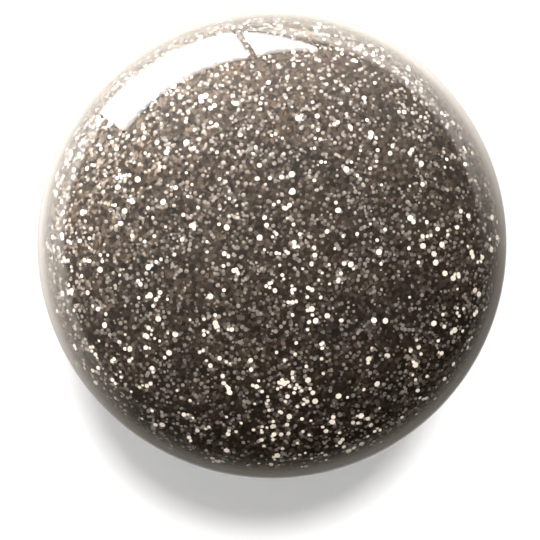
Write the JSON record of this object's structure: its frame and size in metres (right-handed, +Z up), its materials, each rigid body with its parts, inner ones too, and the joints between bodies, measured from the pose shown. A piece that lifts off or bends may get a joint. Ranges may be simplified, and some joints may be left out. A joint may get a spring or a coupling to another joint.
{
  "type": "nail polish bottle",
  "caption": "Round nail polish bottle with glitter lacquer, screw-on brush cap and a glossy domed pull-off overcap.",
  "frame": {"origin": "centre of the bottle's base, on the surface that it stands on", "axes": "+Z up along the bottle's axis; +X towards mixing_ball_1, along the brush's wide side"},
  "size_m": [0.035, 0.035, 0.0686],
  "materials": {
    "clear_glass": "polished clear glass",
    "clear_acrylic": "polished clear acrylic",
    "glitter_lacquer": "dark warm brown with dense silver and champagne glitter, glossy",
    "metallised_trim": "polished, warm pewter",
    "steel": "bright",
    "black_plastic": "satin black",
    "natural_plastic": "natural, slightly milky",
    "seal_foam": "white foam",
    "nylon": "fine black filaments",
    "grip_rubber": "matt black",
    "label": "plain, satin"
  },
  "bodies": {
    "bottle": {"glass_bottle": "clear_glass", "lacquer_fill": "glitter_lacquer", "neck_wiper": "natural_plastic", "base_label": "label"},
    "ball_1": {"mixing_ball_1": "steel"},
    "ball_2": {"mixing_ball_2": "steel"},
    "seal": {"seal_wad": "seal_foam"},
    "washer": {"slip_washer": "natural_plastic"},
    "brush_cap": {"threaded_insert": "natural_plastic", "handle_sleeve": "black_plastic", "handle_weight": "steel", "brush_stem": "natural_plastic", "brush_anchor": "steel", "bristle_tuft": "nylon"},
    "overcap": {"overcap_clear_dome": "clear_acrylic", "overcap_colour_cup": "glitter_lacquer", "overcap_trim_ring": "metallised_trim", "overcap_grip_sleeve": "black_plastic", "overcap_grip_ring": "grip_rubber", "overcap_weight": "steel"}
  },
  "joints": [
    {"name": "ball_1_roll", "type": "hinge", "parent": "bottle", "child": "ball_1", "pos_m": [0, 0, 0.00663], "axis": [0, 0, 1], "range_deg": [-70, 70]},
    {"name": "ball_2_roll", "type": "hinge", "parent": "bottle", "child": "ball_2", "pos_m": [0, 0, 0.00663], "axis": [0, 0, 1], "range_deg": [-70, 70]},
    {"name": "cap_pull", "type": "slide", "parent": "bottle", "child": "seal", "axis": [0, 0, 1], "range_m": [0, 0.04]},
    {"name": "cap_rise", "type": "slide", "parent": "seal", "child": "washer", "axis": [0, 0, 1], "range_m": [0, 0.00265]},
    {"name": "cap_turn", "type": "hinge", "parent": "washer", "child": "brush_cap", "pos_m": [0, 0, 0.04], "axis": [0, 0, 1], "range_deg": [0, 450]},
    {"name": "overcap_pull", "type": "slide", "parent": "brush_cap", "child": "overcap", "axis": [0, 0, 1], "range_m": [0, 0.034]}
  ],
  "couplings": [
    {"joint": "cap_rise", "follows": "cap_turn", "m_per_rad": 0.00033688}
  ]
}
